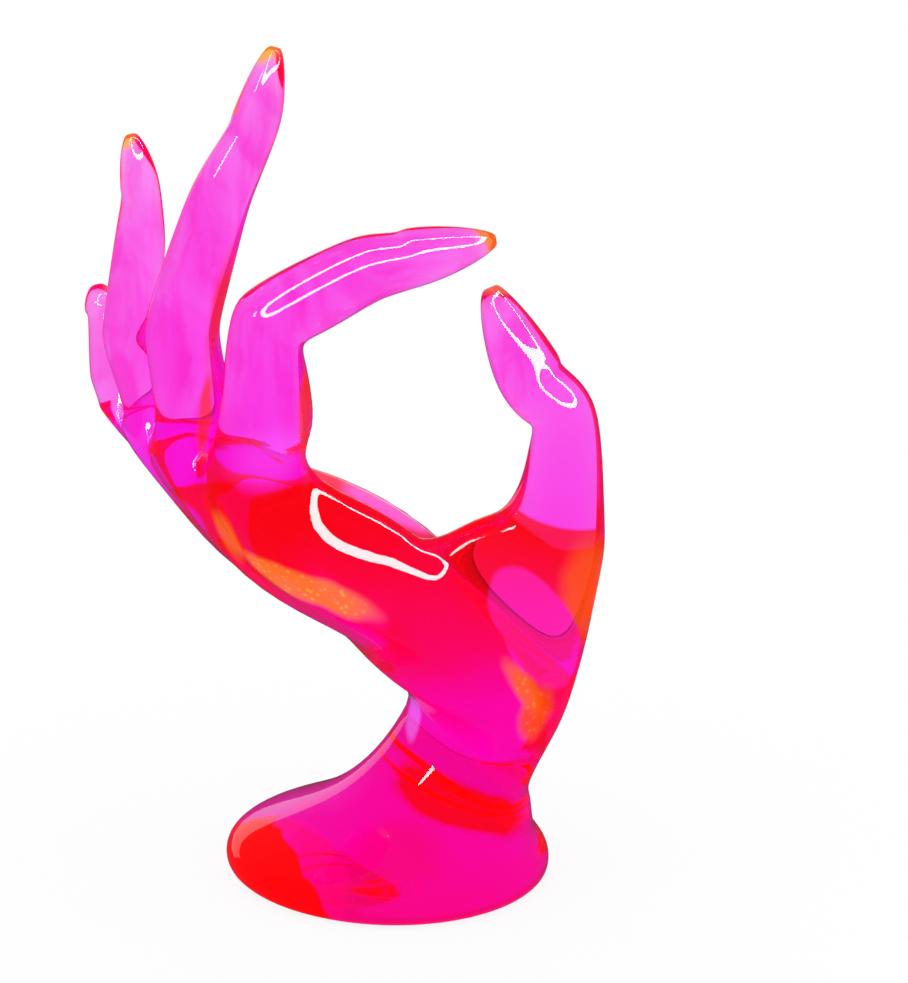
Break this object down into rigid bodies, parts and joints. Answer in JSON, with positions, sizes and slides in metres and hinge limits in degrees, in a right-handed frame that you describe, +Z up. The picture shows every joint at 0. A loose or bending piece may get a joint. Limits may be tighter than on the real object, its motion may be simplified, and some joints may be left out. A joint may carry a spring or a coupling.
{
  "type": "hand jewelry stand",
  "caption": "Translucent pink cast hand, thumb and index finger forming an open ring, other fingers raised, long nails, on a flared oval foot; holds rings, bracelets and necklaces.",
  "frame": {"origin": "middle of the oval foot, on the surface the stand rests on", "axes": "+Z up; +X to the right as the thumb side is looked at, the way the index finger points; +Y away from that side"},
  "size_m": [0.1037, 0.0726, 0.1651],
  "materials": {
    "clear_pink": "clear, polished, tinted neon pink"
  },
  "bodies": {
    "root": {"hand_stand": "clear_pink"}
  },
  "joints": []
}
